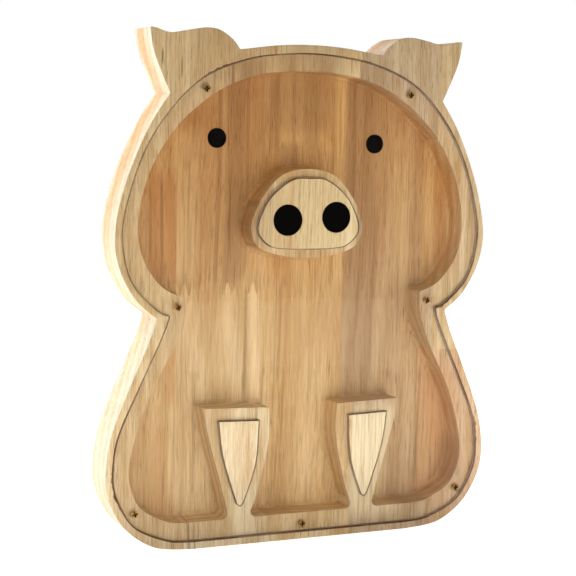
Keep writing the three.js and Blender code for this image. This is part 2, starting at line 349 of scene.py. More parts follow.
def symmetric_ring(curves, step=1.4):
    """A closed ring that is symmetric about the centre line, from the curves of its right half."""
    right = [*joined_curves(curves, step), curve_points(curves[-1], step)[-1]]
    left = [mirrored(point) for point in reversed(right) if point.x > ON_CENTRE_LINE]
    return right + left


def round_corner(ring, x, z, radius, steps=7):
    """The ring with the corner at (x, z) rounded."""
    corner_at = min(range(len(ring)), key=lambda i: (ring[i] - Vector((x, 0, z))).length)
    corner, *others = ring[corner_at:] + ring[:corner_at]
    leaving = (others[0] - corner).normalized()
    arriving = (others[-1] - corner).normalized()
    half = leaving.angle(arriving) / 2
    reach = radius / math.tan(half)
    pull = 4 / 3 * math.tan((math.pi - 2 * half) / 4) * radius
    start, end = corner + arriving * reach, corner + leaving * reach
    arc = interpolate_bezier(start, start - arriving * pull, end - leaving * pull, end, steps)
    cleared = reach * ARC_MARGIN_SHARE + ARC_MARGIN
    kept = [point for point in others if (point - corner).length > cleared]
    return [*arc, *kept]


def rounded_ring(curves, corners, step=1.4):
    """A symmetric ring with its corners rounded on both sides."""
    ring = symmetric_ring(curves, step)
    for x, z, radius in corners:
        ring = round_corner(ring, x, z, radius)
        ring = round_corner(ring, -x, z, radius)
    return ring


def offset_ring(ring, distance):
    """The ring moved outwards, or inwards if negative; a list gives each point its own distance."""
    following = ring[1:] + ring[:1]
    turn = math.copysign(1, sum(a.x * b.z - b.x * a.z for a, b in zip(ring, following)))
    sides = [(b - a).normalized() for a, b in zip(ring, following)]
    normals = [Vector((side.z, 0, -side.x)) * turn for side in sides]
    shifts = distance if isinstance(distance, list) else [distance] * len(ring)
    return [
        point + (normals[i - 1] + normals[i]) * (shifts[i] / (1 + normals[i - 1].dot(normals[i])))
        for i, point in enumerate(ring)
    ]


def inside_frame(ring):
    """The ring held inside the frame's width and height, which its smooth curves pass by a hair."""
    low, high = CAD_BOX[0] / MM, CAD_BOX[1] / MM
    return [Vector((min(max(p.x, low.x), high.x), 0, min(max(p.z, low.z), high.z))) for p in ring]


def circle_ring(x, z, radius, sides=40):
    """A ring of points round a centre."""
    turns = [2 * math.pi * i / sides for i in range(sides)]
    return [Vector((x + radius * math.cos(turn), 0, z + radius * math.sin(turn))) for turn in turns]


OUTER_RING = inside_frame(rounded_ring(OUTER_EDGE, OUTER_CORNERS))
RABBET_RING = rounded_ring(RABBET_EDGE, RABBET_CORNERS, step=0.7)
CAVITY_RING = rounded_ring(CAVITY_EDGE, CAVITY_CORNERS)
SNOUT_RING = symmetric_ring(SNOUT_RING_EDGE, step=1.0)
SNOUT_PLATE = symmetric_ring(SNOUT_PLATE_EDGE, step=1.0)
RIGHT_PAW_PLATE = joined_curves(PAW_PLATE_EDGE, step=1.0)
LEFT_PAW_PLATE = [mirrored(point) for point in RIGHT_PAW_PLATE]
PLATES = [SNOUT_PLATE, RIGHT_PAW_PLATE, LEFT_PAW_PLATE]


# ---- mesh steps ----


def sweep(bm, ring, stations, scorch=0.0):
    """Extrudes a ring through stations (outset, y) and returns its first and last loops.

    Each of the two is a number or a list with a value for each point of the ring.
    Gap shade says how much painted shade the wall gets, for the shade that falls in gaps and hollows.
    """
    heat = bm.faces.layers.float.get("scorch") or bm.faces.layers.float.new("scorch")
    verts = [bm.verts.new(point) for point in ring]
    edges = [bm.edges.new(pair) for pair in zip(verts, verts[1:] + verts[:1])]
    first_loop = edges
    for number, (outset, y) in enumerate(stations):
        if number:
            made = bmesh.ops.extrude_edge_only(bm, edges=edges)["geom"]
            fresh = {item for item in made if isinstance(item, bmesh.types.BMVert)}
            for face in (item for item in made if isinstance(item, bmesh.types.BMFace)):
                face[heat] = scorch
            verts = [
                next(edge.other_vert(vert) for edge in vert.link_edges if edge.other_vert(vert) in fresh)
                for vert in verts
            ]
            made_edges = [item for item in made if isinstance(item, bmesh.types.BMEdge)]
            edges = [edge for edge in made_edges if all(vert in fresh for vert in edge.verts)]
        depths = y if isinstance(y, list) else [y] * len(ring)
        for vert, place, depth in zip(verts, offset_ring(ring, outset), depths):
            vert.co = (place.x, depth, place.z)
    return first_loop, edges


def fill(bm, *loops, normal=(0, -1, 0)):
    """A flat face inside the first loop, with the other loops as holes in it."""
    edges = [edge for loop in loops for edge in loop]
    made = bmesh.ops.triangle_fill(bm, use_beauty=True, use_dissolve=False, edges=edges, normal=normal)
    if not any(isinstance(item, bmesh.types.BMFace) for item in made["geom"]):
        raise RuntimeError("a flat could not be filled")


def close(bm):
    """Points the faces outwards and makes sure that the shape is closed."""
    bmesh.ops.recalc_face_normals(bm, faces=bm.faces[:])
    open_edges = [edge for edge in bm.edges if not edge.is_manifold]
    if open_edges:
        place = tuple(open_edges[0].verts[0].co)
        raise RuntimeError(f"{len(open_edges)} open edges, first at {place}")


def cut_plane(bm, place, normal, **settings):
    """Cuts every face that a plane crosses and returns the edges of the cut."""
    everything = bm.verts[:] + bm.edges[:] + bm.faces[:]
    cut = bmesh.ops.bisect_plane(
        bm, geom=everything, dist=CUT_TOLERANCE, plane_co=place, plane_no=normal, **settings
    )
    return [item for item in cut["geom_cut"] if isinstance(item, bmesh.types.BMEdge)]


def saw_off(bm, place, normal):
    """Takes away what lies beyond a plane and closes the cut."""
    fill(bm, cut_plane(bm, place, normal, clear_outer=True), normal=normal)


def edge_stations(edge, y):
    """Stations of an edge that starts in the flat at y."""
    return [(outset, y + depth) for outset, depth in edge]


def eased(ease, y, away, into):
    """Stations of an eased edge, from the flat at y to the wall; the signs say which way each one lies."""
    bend = EASE_BEND * ease
    return [(away * ease, y), (away * bend, y + into * bend), (0, y + into * ease)]


def floor_rounding(radius, side, steps=6):
    """Stations of a quarter circle from a wall to the floor; the side says where the floor lies."""
    angles = [math.pi / 2 * i / steps for i in range(steps + 1)]
    return [
        (side * radius * (1 - math.cos(angle)), FLOOR_Y - radius + radius * math.sin(angle))
        for angle in angles
    ]


def make_piece(name, bm, material, body, nodes, smooth_below=38):
    """Turns a mesh in millimetres into a finished piece that stands for its nodes."""
    close(bm)
    bmesh.ops.scale(bm, vec=(MM, MM, MM), verts=bm.verts[:])
    for face in bm.faces:
        face.smooth = True
    for edge in bm.edges:
        edge.smooth = edge.calc_face_angle(0) < math.radians(smooth_below)
    mesh = bpy.data.meshes.new(name)
    bm.to_mesh(mesh)
    bm.free()
    mesh.materials.append(material)
    piece = bpy.data.objects.new(name, mesh)
    bpy.context.scene.collection.objects.link(piece)
    shading = piece.modifiers.new("Even shading", "WEIGHTED_NORMAL")
    shading.keep_sharp = True
    shading.weight = 50
    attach(piece, body)
    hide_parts(*nodes)
    return piece


def centre_and_radius(node):
    """Centre (x, z) and radius of a round node."""
    low, high = node_box(node)
    return (low.x + high.x) / 2, (low.z + high.z) / 2, (high.x - low.x) / 2


# ---- the milled board and its staves ----


def tear_depth(point, depth):
    """How deep the cutter tore the rim at a place."""
    near = max(max(0, 1 - math.hypot(point.x - x, point.z - z) / reach) for x, z, reach in TORN_PLACES)
    rough = noise.noise(Vector((point.x * TEAR_GRAIN, TEAR_SLICE, point.z * TEAR_GRAIN))) + TEAR_BIAS
    fine = FINE_DEPTH * max(0, noise.noise(Vector((point.x * FINE_GRAIN, FINE_SLICE, point.z * FINE_GRAIN))))
    return depth * (min(1, near * 2) * max(0, rough) + fine)


def milled_board(sizes):
    """The whole board as one closed mesh, before it is parted into staves."""
    bm = bmesh.new()

    front_edge = eased(sizes.edge_ease, FRONT_Y, -1, 1)
    back_edge = eased(sizes.edge_ease, BACK_Y, -1, -1)
    outer_front, outer_back = sweep(bm, OUTER_RING, front_edge + back_edge[::-1])
    torn = [tear_depth(point, sizes.tear_out) for point in RABBET_RING]
    rim = [
        ([outset + spread * tear for tear in torn], [FRONT_Y + depth + sink * tear for tear in torn])
        for outset, spread, depth, sink in TORN_EDGE
    ]
    rabbet_front, rabbet_back = sweep(bm, RABBET_RING, [*rim, (0, LEDGE_Y)], scorch=GAP_SHADE["rim"])
    fill(bm, outer_front, rabbet_front)
    fill(bm, outer_back)

    plate_stations = [*edge_stations(PLATE_EDGE, FRONT_Y), (0, LEDGE_Y)]
    plate_loops = [sweep(bm, ring, plate_stations, scorch=GAP_SHADE["plate"]) for ring in PLATES]
    seat_fronts = {}
    for disc in DISCS:
        x, z, disc_radius = centre_and_radius(disc)
        low, high = node_box(disc)
        seat = circle_ring(x, z, disc_radius + SEAT_CLEARANCE, sides=64)
        stations = [*edge_stations(SEAT_EDGE, low.y), (0, high.y + SEAT_SPARE_DEPTH)]
        seat_fronts[disc], seat_back = sweep(bm, seat, stations, scorch=GAP_SHADE["hole"])
        fill(bm, seat_back)

    snout_plate, *paw_plates = plate_loops
    fill(bm, snout_plate[0], seat_fronts["left_nostril"], seat_fronts["right_nostril"])
    for plate in paw_plates:
        fill(bm, plate[0])

    cavity_wall = eased(sizes.cavity_ease, LEDGE_Y, 1, 1) + floor_rounding(sizes.floor_round, -1)
    cavity_front, cavity_back = sweep(bm, CAVITY_RING, cavity_wall, scorch=GAP_SHADE["cavity"])
    snout_wall = eased(sizes.cavity_ease, LEDGE_Y, -1, 1) + floor_rounding(sizes.floor_round, 1)
    snout_front, snout_back = sweep(bm, SNOUT_RING, snout_wall, scorch=GAP_SHADE["snout"])
    fill(bm, snout_front, snout_plate[1])
    fill(bm, cavity_back, snout_back, seat_fronts["left_eye"], seat_fronts["right_eye"])

    pilot_fronts = []
    for node in SCREWS:
        x, z, _ = centre_and_radius(node)
        bore_radius = SCREW_SHANK_RADIUS + PILOT_CLEARANCE
        tip_y = node_box(node)[1].y + PILOT_SPARE_DEPTH
        point = [(0, tip_y - PILOT_POINT_LENGTH), (PILOT_POINT_RADIUS - bore_radius, tip_y)]
        stations = edge_stations(PILOT_EDGE, LEDGE_Y) + point
        front, back = sweep(bm, circle_ring(x, z, bore_radius, sides=20), stations, scorch=GAP_SHADE["hole"])
        fill(bm, back)
        pilot_fronts.append(front)
    fill(bm, rabbet_back, cavity_front, *[plate[1] for plate in paw_plates], *pilot_fronts)

    close(bm)
    return carved(bm, coin_slot_cutter(sizes))


def coin_slot_cutter(sizes):
    """A solid with round ends and a flared mouth that follows the top edge."""
    centre_y = (LEDGE_Y + FLOOR_Y - sizes.floor_round) / 2
    half_width, half_straight = SLOT_WIDTH / 2, (SLOT_LENGTH - SLOT_WIDTH) / 2
    ring = []
    for side in (1, -1):
        for step in range(SLOT_ROUND_STEPS + 1):
            angle = math.radians(-90 + 180 * step / SLOT_ROUND_STEPS)
            x, z = half_straight + half_width * math.cos(angle), half_width * math.sin(angle)
            ring.append(Vector((side * x, 0, side * z)))
    top_edge = curve_points(OUTER_EDGE[0], step=0.5)
    ease = sizes.slot_ease
    bend = EASE_BEND * ease
    mouth = [(SLOT_FLARE * ease, SLOT_OVERRUN_ABOVE), (ease, SLOT_PROUD), (bend, -bend), (0, -ease)]
    heights = [*mouth, (0, None)]
    bm = bmesh.new()
    first, last = sweep(bm, ring, [(outset, number) for number, (outset, _) in enumerate(heights)])
    low_z = CAVITY_EDGE[0][0][1] - SLOT_OVERRUN_BELOW
    for vert in bm.verts:
        x, number, across = vert.co
        drop = heights[round(number)][1]
        top_z = min(top_edge, key=lambda point: abs(point.x - abs(x))).z
        vert.co = (x, centre_y + across, low_z if drop is None else top_z + drop)
    fill(bm, first, normal=(0, 0, 1))
    fill(bm, last, normal=(0, 0, 1))
    close(bm)
    return bm


def carved(bm, cutter):
    """The mesh with the cutter's shape taken out of it."""
    objects = []
    for name, part in (("carved_board", bm), ("cutter", cutter)):
        mesh = bpy.data.meshes.new(name)
        part.to_mesh(mesh)
        part.free()
        objects.append(bpy.data.objects.new(name, mesh))
        bpy.context.scene.collection.objects.link(objects[-1])
    board, tool = objects
    cut = board.modifiers.new("Coin slot", "BOOLEAN")
    cut.object, cut.operation, cut.solver = tool, "DIFFERENCE", "EXACT"
    result = bmesh.new()
    result.from_object(board, bpy.context.evaluated_depsgraph_get())
    for item in objects:
        mesh = item.data
        bpy.data.objects.remove(item)
        bpy.data.meshes.remove(mesh)
    return result


def parted(board, low_x, high_x):
    """The part of the board between two joints."""
    bm = board.copy()
    if low_x is not None:
        saw_off(bm, (low_x, 0, 0), (-1, 0, 0))
    if high_x is not None:
        saw_off(bm, (high_x, 0, 0), (1, 0, 0))
    return bm


def finger_height(x):
    """Height of the finger joint's zigzag at a distance across the second stave, about its middle line."""
    pitch = (JOINTS_X[1] - JOINTS_X[0]) / TEETH
    phase = ((x - JOINTS_X[0]) / pitch) % 1
    flank = (abs(2 * phase - 1) - 0.5) / (1 - 4 * TOOTH_TIP)
    return TOOTH_LENGTH * min(max(flank, -0.5), 0.5)


def finger_jointed(stave, keep_upper):
    """One length of the second stave, cut with the teeth of the finger joint."""
    bm = stave.copy()
    pitch = (JOINTS_X[1] - JOINTS_X[0]) / TEETH
    bends = [TOOTH_TIP, 0.5 - TOOTH_TIP, 0.5 + TOOTH_TIP, 1 - TOOTH_TIP]

    def split_at_teeth():
        for along in (tooth + bend for tooth in range(TEETH) for bend in bends):
            cut_plane(bm, (JOINTS_X[0] + along * pitch, 0, 0), (1, 0, 0))

    def shear(direction):
        for vert in bm.verts:
            vert.co.z += direction * finger_height(vert.co.x)

    split_at_teeth()
    shear(-1)
    saw_off(bm, (0, 0, FINGER_Z), (0, 0, -1 if keep_upper else 1))
    split_at_teeth()
    shear(1)
    return bm


class MONEYBOX_OT_staves(bpy.types.Operator):
    """Mills the board and parts it into its seven staves"""

    bl_idname = "moneybox.staves"
    bl_label = "Staves"

    def execute(self, context):
        sizes, finishes = context.scene.money_box_sizes, context.scene.money_box_finishes
        board = milled_board(sizes)
        edges = [None, *JOINTS_X, None]
        whole = [parted(board, low, high) for low, high in zip(edges, edges[1:])]
        first, second, third, fourth, fifth = whole
        fifth_upper, fifth_lower = fifth.copy(), fifth.copy()
        saw_off(fifth_upper, (0, 0, END_JOINT_Z), (0, 0, -1))
        saw_off(fifth_lower, (0, 0, END_JOINT_Z), (0, 0, 1))
        lengths = {
            "stave_1": (first, "wood_warm"),
            "stave_2_upper": (finger_jointed(second, True), "wood_mid"),
            "stave_2_lower": (finger_jointed(second, False), "wood_pale"),
            "stave_3": (third, "wood_golden"),
            "stave_4": (fourth, "wood_pink"),
            "stave_5_upper": (fifth_upper, "wood_mid"),
            "stave_5_lower": (fifth_lower, "wood_red"),
        }
        for node, (bm, slot) in lengths.items():
            material = wood_finish(node, getattr(finishes, node), finishes, **GRAIN[node])
            make_piece(f"{node}_wood", bm, material, "box", [node])
        for bm in (board, second, fifth):
            bm.free()
        return {"FINISHED"}


# ---- the clear front ----


class MONEYBOX_OT_clear_front(bpy.types.Operator):
    """Cuts the clear front with its windows and countersunk holes"""

    bl_idname = "moneybox.clear_front"
    bl_label = "Clear front"

    def execute(self, context):
        sizes, finishes = context.scene.money_box_sizes, context.scene.money_box_finishes
        bm = bmesh.new()

        def cut(ring, away):
            front_edge = eased(sizes.panel_polish, FRONT_Y, away, 1)
            back_edge = eased(sizes.panel_polish, PANEL_BACK_Y, away, -1)
            return sweep(bm, ring, front_edge + back_edge[::-1])

        loops = [cut(offset_ring(RABBET_RING, -sizes.panel_clearance), -1)]
        loops += [cut(offset_ring(plate, sizes.panel_clearance), 1) for plate in PLATES]
        for node in SCREWS:
            x, z, radius = centre_and_radius(node)
            bore = SCREW_SHANK_RADIUS + HOLE_CLEARANCE
            sink_y = FRONT_Y + SCREW_HEAD_DEPTH + HOLE_CLEARANCE
            stations = [(radius + HOLE_CLEARANCE - bore, FRONT_Y), (0, sink_y), (0, PANEL_BACK_Y)]
            loops.append(sweep(bm, circle_ring(x, z, bore), stations))
        fill(bm, *[front for front, _ in loops])
        fill(bm, *[back for _, back in loops])
        clear = acrylic_finish(finishes)
        panel = make_piece("clear_front_panel", bm, clear, "front", ["clear_front"])
        panel.data.materials.append(sawn_acrylic_finish(finishes))
        for face in panel.data.polygons:
            face.material_index = int(abs(face.normal.y) < WALL_NORMAL_Y)
        return {"FINISHED"}


# ---- screws ----


def cross_ring(x, z):
    """The outline of a cross recess, turned a little so that no two screws look alike."""
    end, side = RECESS_HALF_LENGTH, RECESS_HALF_WIDTH
    arms = []
    for quarter in range(4):
        turn = Matrix.Rotation(math.radians(90 * quarter + RECESS_TURN * x % 90), 3, "Y")
        for along, across in ((side, side), (end, side), (end, -side)):
            arms.append(turn @ Vector((along, 0, across)) + Vector((x, 0, z)))
    return arms


def screw_mesh(node, pitch):
    """A countersunk screw with a cross recess and a ridged shank."""
    x, z, head_radius = centre_and_radius(node)
    head_y, tip_y = node_box(node)[0].y, node_box(node)[1].y
    crest = SCREW_SHANK_RADIUS - head_radius
    root = SCREW_SHANK_RADIUS - THREAD_DEPTH - head_radius
    under_head = head_y + SCREW_HEAD_DEPTH
    taper_y = tip_y - 2 * SCREW_SHANK_RADIUS
    y = under_head + PLAIN_SHANK
    stations = [*edge_stations(SCREW_HEAD_EDGE, head_y), (crest, under_head), (crest, y)]
    while y + pitch < taper_y:
        stations += [(root, y + share * pitch) for share in THREAD_ROOT]
        stations += [(crest, y + share * pitch) for share in THREAD_CREST]
        y += pitch
    stations += [(root, taper_y + TAPER_STEP), (TIP_RADIUS - head_radius, tip_y)]
    bm = bmesh.new()
    head_front, tip = sweep(bm, circle_ring(x, z, head_radius, sides=32), stations)
    recess_stations = edge_stations(RECESS_EDGE, head_y)
    recess_front, recess_floor = sweep(bm, cross_ring(x, z), recess_stations, scorch=GAP_SHADE["hole"])
    fill(bm, head_front, recess_front)
    fill(bm, recess_floor)
    fill(bm, tip)
    return bm


class MONEYBOX_OT_screws(bpy.types.Operator):
    """Makes the seven brass screws that hold the clear front"""

    bl_idname = "moneybox.screws"
    bl_label = "Screws"

    def execute(self, context):
        sizes, finishes = context.scene.money_box_sizes, context.scene.money_box_finishes
        material = brass_finish(finishes)
        for node in SCREWS:
            bm = screw_mesh(node, sizes.thread_pitch)
            make_piece(f"{node}_brass", bm, material, node, [node], smooth_below=30)
        return {"FINISHED"}


# ---- eyes and nostrils ----


class MONEYBOX_OT_discs(bpy.types.Operator):
    """Makes the black discs of the eyes and nostrils"""

    bl_idname = "moneybox.discs"
    bl_label = "Eyes and nostrils"

    def execute(self, context):
        material = black_finish(context.scene.money_box_finishes)
        for node in DISCS:
            x, z, radius = centre_and_radius(node)
            low, high = node_box(node)
            bm = bmesh.new()
            stations = [*edge_stations(DISC_EDGE, low.y), (0, high.y)]
            front, back = sweep(bm, circle_ring(x, z, radius, sides=64), stations)
            fill(bm, front)
            fill(bm, back)
            make_piece(f"{node}_disc", bm, material, "box", [node])
        return {"FINISHED"}


# ---- finishes ----

COLOUR_MIX_INPUTS = (0, 6, 7)  # the Mix node's sockets for the factor and the two colours
COLOUR_MIX_OUTPUT = 2


class Finish:
    """A material, its main shader and short ways to add pattern nodes."""

    def __init__(self, name):
        self.material = bpy.data.materials.new(name)
        self.material.use_nodes = True
        self.tree = self.material.node_tree
        self.shader = self.tree.nodes["Principled BSDF"]
        self.place = self.add("ShaderNodeTexCoord").outputs["Object"]

    def add(self, kind, inputs=(), **settings):
        """A node; each input is a socket to link or a value to set."""
        node = self.tree.nodes.new(kind)
        for name, value in settings.items():
            setattr(node, name, value)
        for name, value in dict(inputs).items():
            self.put(node.inputs[name], value)
        return node

    def put(self, socket, value):
        """Links a socket or sets its value."""
        if isinstance(value, bpy.types.NodeSocket):
            self.tree.links.new(value, socket)
        elif socket.type == "RGBA":
            socket.default_value = (*value, 1)
        else:
            socket.default_value = value

    def stretched(self, scale, shift=(0, 0, 0), turn=(0, 0, 0), place=None):
        """Coordinates with a stretch, a turn and a shift."""
        inputs = {"Vector": place or self.place, "Location": shift, "Rotation": turn, "Scale": scale}
        return self.add("ShaderNodeMapping", inputs).outputs["Vector"]

    def noise(self, place, scale, detail=3.0, roughness=0.55):
        """A noise pattern, from 0 to 1."""
        inputs = {"Vector": place, "Scale": scale, "Detail": detail, "Roughness": roughness}
        return self.add("ShaderNodeTexNoise", inputs).outputs["Fac"]

    def between(self, value, low, high, to_low=0.0, to_high=1.0, smooth=True):
        """A value taken from one range to another, held at its ends."""
        inputs = {"Value": value, "From Min": low, "From Max": high, "To Min": to_low, "To Max": to_high}
        kind = "SMOOTHSTEP" if smooth else "LINEAR"
        return self.add("ShaderNodeMapRange", inputs, interpolation_type=kind).outputs["Result"]

    def grain_noise(self, stretch, scale, detail, roughness, shift, place):
        """Noise drawn out along the stave; a low stretch makes it long."""
        return self.noise(self.stretched((1, 1, stretch), shift, place=place), scale, detail, roughness)

    def maths(self, operation, first, second=0.0):
        """One step of arithmetic."""
        return self.add("ShaderNodeMath", {0: first, 1: second}, operation=operation).outputs[0]

    def mix(self, factor, first, second, blend="MIX"):
        """Two colours mixed by a factor."""
        node = self.add("ShaderNodeMix", data_type="RGBA", blend_type=blend)
        for index, value in zip(COLOUR_MIX_INPUTS, (factor, first, second)):
            self.put(node.inputs[index], value)
        return node.outputs[COLOUR_MIX_OUTPUT]

    def bump(self, height, strength, distance):
        """Small relief on the main shader; the distance is in metres."""
        inputs = {"Height": height, "Strength": strength, "Distance": distance}
        self.put(self.shader.inputs["Normal"], self.add("ShaderNodeBump", inputs).outputs["Normal"])


# Marks that a stave shows, as (x, lowest z, highest z, half width, strength, tone), in millimetres; a few are
# painted shade and one is partly a painted highlight, as noted below.
MARKS = {
    "stave_1": [
        (-80, 148, 224, 17, 0.55, "orange"), (-84, 150, 222, 1.3, 0.45, "brown"),
        (-91, 160, 215, 1.1, 0.4, "brown"), (-77, 76, 124, 6, 0.5, "orange"),
        (-84, 15, 76, 6, 0.35, "orange"), (-98, 40, 80, 4, 0.3, "orange"),
        (-90, 277, 289, 0.7, 0.8, "brown"), (-77.5, 270, 285, 0.7, 0.75, "brown"),
    ],
    "stave_2_upper": [
        (-52, 145, 285, 1.6, 0.45, "brown"), (-43, 145, 290, 7, 0.42, "brown"),
        (-36, 150, 290, 1.4, 0.4, "brown"), (-58, 232, 262, 6, 0.25, "orange"),
        (-27, 150, 215, 3, 0.3, "pale"), (-76, 148, 250, 19, 0.45, "pale"),
    ],
    "stave_2_lower": [
        (-30.5, 78, 160, 1.3, 0.55, "brown"), (-25.5, 60, 160, 2.6, 0.6, "pale"),
        (-63, 20, 110, 0.8, 0.4, "brown"), (-71.5, -20, 24, 0.9, 0.7, "brown"),
        (-68, -20, 20, 0.7, 0.6, "brown"), (-45, 85, 145, 7, 0.3, "pale"),
    ],
    "stave_3": [
        # the brown marks at x -5, 0, 8 and -15 above the snout are painted shade: the snout's shadow and the
        # dim top of the head
        (-5, 219, 239, 7, 0.3, "brown"), (-13, 150, 290, 2, 0.35, "orange"), (27, 145, 285, 4, 0.5, "pale"),
        (8, 224, 288, 7, 0.25, "brown"), (0, 236, 330, 30, 0.38, "brown"), (-15, 226, 282, 4, 0.35, "brown"),
        (-9, 85, 160, 1.2, 0.35, "brown"), (10, 20, 120, 5, 0.25, "pale"),
    ],
    "stave_4": [
        (43, 84, 295, 15, 0.28, "brown"), (37, 150, 290, 1.5, 0.3, "brown"), (53, 90, 200, 1.3, 0.3, "brown"),
        # the pale mark at x 45, by the right paw, is partly a paler tone of the wood and partly a painted
        # highlight, where the light is brightest near the bottom
        (70, 150, 250, 8, 0.25, "pale"), (45, 4, 84, 26, 0.75, "pale"),
    ],
    "stave_5_upper": [(98, 150, 235, 6, 0.25, "orange")],
    "stave_5_lower": [
        (89, 22, 106, 1.3, 0.5, "brown"), (101, 35, 104, 9, 0.35, "orange"), (107, 20, 60, 5, 0.3, "brown"),
        (88.5, -20, 20, 0.8, 0.6, "brown"),
    ],
}
MARK_CORE = 0.45  # how much of a mark's half width is at full strength
LONGEST_FADE = 14  # how far a mark fades out at its ends, in millimetres

# heart: where the rings' centre lies (x, y) in metres; lean: how the rings drift along the grain
GRAIN = {
    "stave_1": dict(seed=3.1, heart=(-0.17, 0.09), lean=0.30, rings=0.35, streaks=0.35, pores=0.75),
    "stave_2_upper": dict(seed=11.7, heart=(-0.03, 0.16), lean=-0.35, rings=0.35, streaks=0.8, pores=0.7),
    "stave_2_lower": dict(seed=23.9, heart=(-0.047, 0.055), lean=0.55, rings=0.6, streaks=0.15, pores=0.45),
    "stave_3": dict(seed=37.3, heart=(0.02, 0.08), lean=0.5, rings=0.55, streaks=0.35, pores=0.7),
    "stave_4": dict(seed=51.1, heart=(0.14, 0.12), lean=-0.25, rings=0.35, streaks=0.55, pores=0.85),
    "stave_5_upper": dict(seed=67.7, heart=(0.17, -0.08), lean=0.3, rings=0.4, streaks=0.4, pores=0.6),
    "stave_5_lower": dict(seed=83.3, heart=(0.12, 0.07), lean=-0.4, rings=0.45, streaks=0.4, pores=0.8),
}
SEED_SHIFT = (0.137, 0.071, 0.093)
SWAY = (0.02, 0.02, 0.0)  # how far the fibres wander, in metres
SWAY_STRETCH = 0.3
SWAY_NOISE = {"Scale": 9.0, "Detail": 2.0}
RINGS = {
    "Scale": 44.0, "Distortion": 3.2, "Detail": 3.0, "Detail Scale": 0.7, "Detail Roughness": 0.6,
}
RING_STRETCH = 0.16

# patterns of the wood's tone, as (stretch, scale, detail, roughness) and how much each one counts
BROAD = (0.2, 26.0, 3.0, 0.55), 0.9
VEIN = (0.014, 150.0, 3.0, 0.6), 0.9
FIBRE = (0.035, 760.0, 4.0, 0.7), 1.8
THREAD = (0.06, 1900.0, 2.0, 0.6), 1.3
TONE_RANGE = (-0.55, 0.55)
PALE_FACTORS = (1.08, 1.13, 1.18)
DEEP_FACTORS = (0.76, 0.64, 0.48)

# dark marks all over the wood: such a pattern, the values that it fades in between, and its strength
FINE_LINE = (0.006, 1150.0, 2.0, 0.6), (0.58, 0.68), 0.35
STREAK = (0.012, 300.0, 3.0, 0.6), (0.58, 0.74), 0.6
PORE = (0.055, 1700.0, 1.0, 0.5), (0.6, 0.7), 0.6

# ranges, as (from low, from high, to low, to high); depths, heights and distances across are in metres
MILLED_AND_SHADED_DEPTHS = (FRONT_Y + 1) * MM, (FLOOR_Y - 2) * MM
BACK_DEPTHS = (FLOOR_Y + 1) * MM, (BACK_Y - 1) * MM
FRONT_SHADE_DEPTHS = (FRONT_Y + 0.5) * MM, (FRONT_Y + 2) * MM, 1.0, 0.0
BROKEN_BY_FIBRES = (0.35, 0.6, 0.45, 1.0)
WOOD_ROUGHNESS = (0.3, 0.7, 0.46, 0.62)
WOOD_SHINE = 0.35
FIBRE_RELIEF = 0.6  # how much of the relief the fibres make, against the pores
HEAD_SHADE_HEIGHTS = (0.09, 0.25)
FRONT_SHADE_HEIGHTS = (0.03, 0.17, 0.2, 1.0)
GAP_SHADE_PATCHES = (0.35, 0.6, 0.7, 1.0)
GAP_SHADE_ACROSS = (-0.085, -0.055, 0.2)
GAP_SHADE_HEIGHTS = (0.07, 0.11, 1.0, 0.2)


